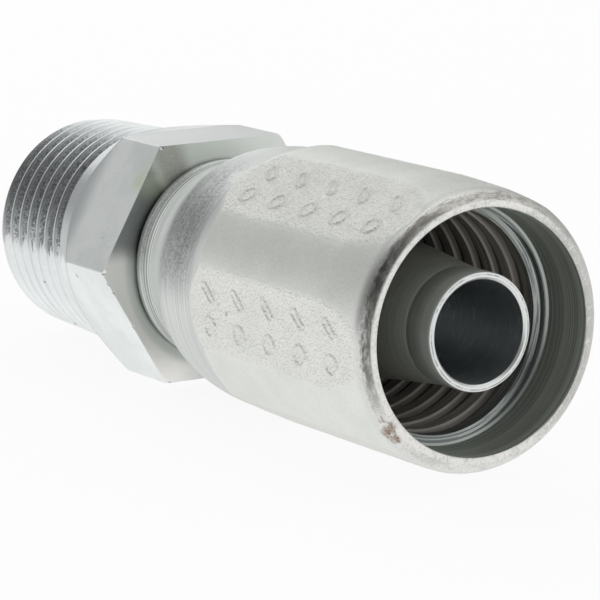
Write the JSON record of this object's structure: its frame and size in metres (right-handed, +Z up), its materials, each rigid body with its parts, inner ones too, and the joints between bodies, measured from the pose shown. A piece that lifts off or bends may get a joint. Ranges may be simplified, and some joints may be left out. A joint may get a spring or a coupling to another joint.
{
  "type": "reusable hose fitting",
  "caption": "Straight reusable hose fitting: hex nipple with a tapered male pipe thread, and a screw-on socket that grips the hose.",
  "frame": {"origin": "middle of the bounding box at its lowest point, on the surface that the fitting lies on", "axes": "+X along the fitting's axis towards the hose mouth, +Z up, square to a flat of the nipple's hexagon"},
  "size_m": [0.0672, 0.0254, 0.025],
  "materials": {
    "socket_plating": "dull zinc plate over a forged skin",
    "nipple_plating": "satin zinc plate over turned steel"
  },
  "bodies": {
    "socket": {"socket": "socket_plating"},
    "nipple": {"nipple": "nipple_plating"}
  },
  "joints": [
    {"name": "nipple_withdraw", "type": "slide", "parent": "socket", "child": "nipple", "axis": [-1, 0, 0], "range_m": [0, 0.045]}
  ]
}
